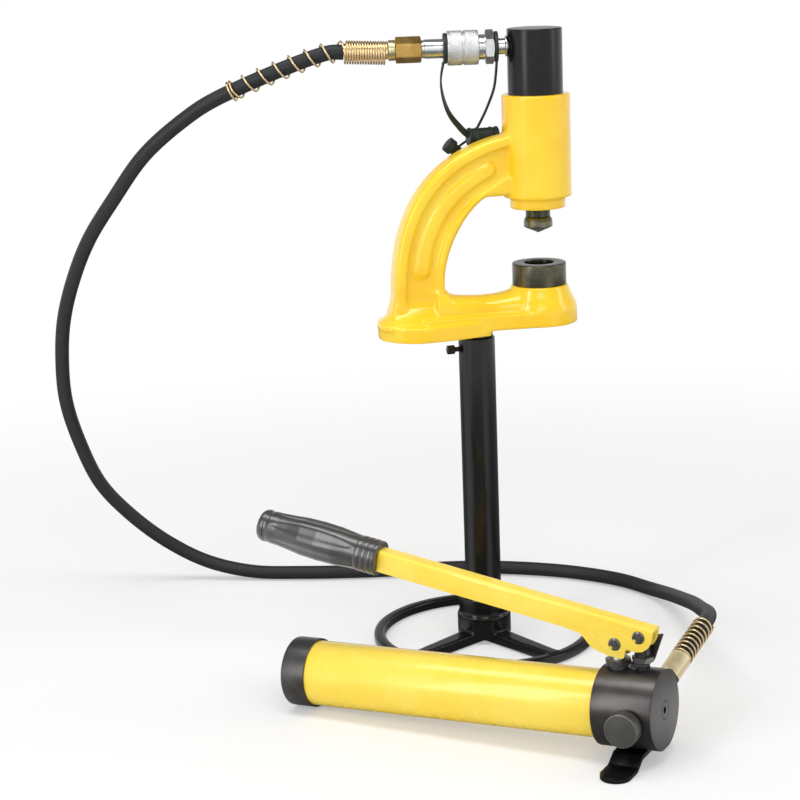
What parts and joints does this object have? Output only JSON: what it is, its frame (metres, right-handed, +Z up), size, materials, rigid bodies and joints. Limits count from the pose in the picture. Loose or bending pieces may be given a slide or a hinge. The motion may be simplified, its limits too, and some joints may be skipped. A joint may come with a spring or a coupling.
{
  "type": "hydraulic hole punch",
  "caption": "Bench hole punch: a cast C-frame with ram, punch and die on a post and ring foot, fed through a quick coupler and hose by a lever-operated hand pump.",
  "frame": {"origin": "centre of the underside of the box around everything but the hose and its two wire guards", "axes": "+Z up along the post, ram and punch; +X along the C-frame, from its column to its open throat; the hand pump lies at an angle to both"},
  "size_m": [0.6422, 0.7428, 0.6456],
  "materials": {
    "frame_enamel": "glossy yellow enamel on a casting",
    "pump_enamel": "glossy pale yellow enamel",
    "black_enamel": "gloss black enamel",
    "gunmetal": "satin grey-black coated steel",
    "tool_steel": "dark oil-blacked tool steel",
    "zinc": "bright zinc-plated steel",
    "brass": "machined brass",
    "rubber": "matt black hose rubber",
    "strap_rubber": "smooth dark moulded rubber",
    "grip_rubber": "satin dark grey moulded grip",
    "bronze": "plain bearing bronze"
  },
  "bodies": {
    "base": {"ring_foot": "black_enamel", "post_tube": "black_enamel", "head_spigot": "black_enamel", "c_frame": "frame_enamel", "ram_cylinder": "black_enamel", "guide_bush": "bronze", "rod_wiper": "rubber", "return_spring": "tool_steel", "die": "tool_steel", "die_set_screw": "tool_steel", "inlet_adapter": "zinc", "coupler_body": "zinc", "coupler_nipple": "zinc", "adapter_nut": "brass", "hose_insert": "zinc", "ferrule_punch_end": "brass", "dust_cap": "strap_rubber", "dust_plug": "strap_rubber", "reservoir_end_cap": "gunmetal", "reservoir_tube": "pump_enamel", "reservoir_bladder": "rubber", "pump_head": "gunmetal", "head_plug": "gunmetal", "gland_nut": "gunmetal", "gland_packing": "rubber", "intake_ball": "zinc", "foot_strip": "black_enamel", "foot_screw_inner": "tool_steel", "foot_screw_outer": "tool_steel", "fulcrum_link": "tool_steel", "fulcrum_nut": "tool_steel", "fulcrum_plate": "black_enamel", "outlet_adapter": "gunmetal", "ferrule_pump_end": "brass", "hose": "rubber", "spring_guard_punch_end": "brass", "spring_guard_pump_end": "brass"},
    "ram": {"piston": "tool_steel", "piston_seal": "rubber", "ram_rod": "tool_steel", "punch": "tool_steel", "punch_set_screw": "tool_steel"},
    "handle": {"handle_lever": "pump_enamel", "handle_grip": "grip_rubber", "fulcrum_pin": "tool_steel", "plunger_pin": "tool_steel", "fulcrum_clip": "tool_steel", "plunger_clip": "tool_steel"},
    "plunger": {"plunger": "tool_steel"},
    "release": {"release_knob": "gunmetal", "release_needle": "tool_steel"},
    "collar": {"coupler_collar": "zinc"},
    "thumb": {"thumb_screw": "black_enamel"}
  },
  "joints": [
    {"name": "ram_slide", "type": "slide", "parent": "base", "child": "ram", "axis": [0, 0, -1], "range_m": [0, 0.04], "stiffness_N_per_m": 600, "springref_m": -0.03, "deforming": ["return_spring"]},
    {"name": "handle_pump", "type": "hinge", "parent": "base", "child": "handle", "pos_m": [0.11587, -0.21678, 0.11879], "axis": [0.6626, 0.749, 0], "range_deg": [0, 46]},
    {"name": "plunger_stroke", "type": "slide", "parent": "base", "child": "plunger", "axis": [-0.0289, 0.0255, 0.9993], "range_m": [0, 0.0196]},
    {"name": "release_turn", "type": "hinge", "parent": "base", "child": "release", "pos_m": [0.11503, -0.21604, 0.04409], "axis": [-0.6626, -0.749, 0], "range_deg": [0, 180]},
    {"name": "collar_spin", "type": "hinge", "parent": "base", "child": "collar", "pos_m": [0.142, 0.15, 0.628], "axis": [-0.9781, 0.2079, 0], "continuous": true},
    {"name": "thumb_screw_turn", "type": "hinge", "parent": "base", "child": "thumb", "pos_m": [0.072, 0.15, 0.3185], "axis": [-1, 0, 0], "range_deg": [0, 360]}
  ],
  "couplings": [
    {"joint": "plunger_stroke", "follows": "handle_pump", "m_per_rad": 0.0243}
  ]
}
